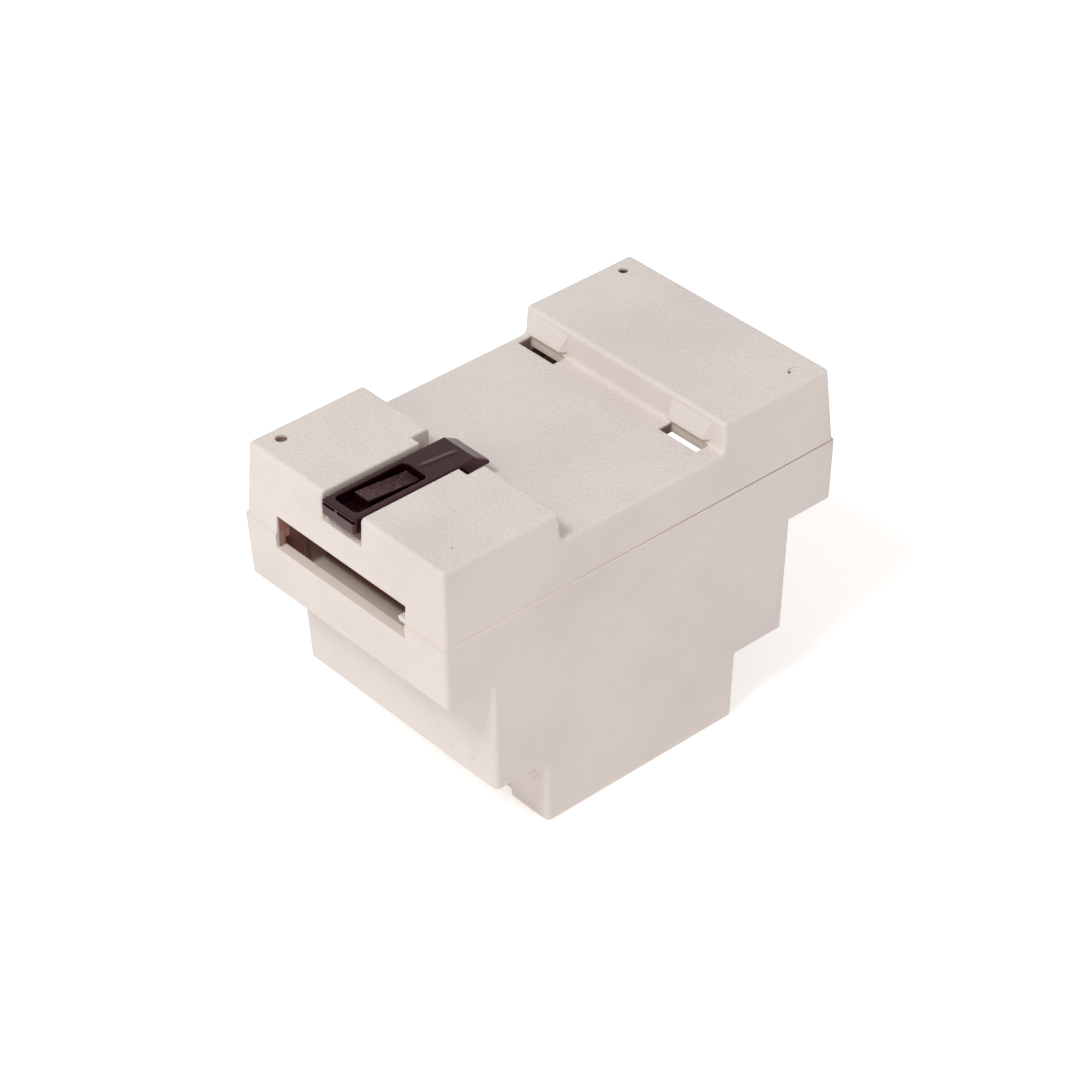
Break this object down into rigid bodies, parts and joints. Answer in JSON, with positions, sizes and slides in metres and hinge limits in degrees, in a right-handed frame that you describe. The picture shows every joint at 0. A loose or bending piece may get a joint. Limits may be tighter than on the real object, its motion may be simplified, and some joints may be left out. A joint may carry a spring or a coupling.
{
  "type": "din rail enclosure",
  "caption": "Empty stepped plastic enclosure that clips on a DIN rail by fixed hooks and a sliding foot, with terminal slots in both ends.",
  "frame": {"origin": "middle of the flat front of the nose, which the case stands on as pictured", "axes": "+X along the length, away from the sliding foot; +Y across the width; +Z from the nose up to the rail side"},
  "size_m": [0.09, 0.0536, 0.0655],
  "materials": {
    "light_plastic": "fine spark texture",
    "dark_plastic": "satin",
    "screw_steel": "zinc plated"
  },
  "bodies": {
    "case": {"rear_shell": "light_plastic", "front_shell": "light_plastic", "front_panel": "light_plastic", "case_screws": "screw_steel"},
    "foot": {"rail_foot": "dark_plastic"}
  },
  "joints": [
    {"name": "foot_slide", "type": "slide", "parent": "case", "child": "foot", "axis": [-1, 0, 0], "range_m": [0, 0.004], "stiffness_N_per_m": 800, "springref_m": -0.001}
  ]
}
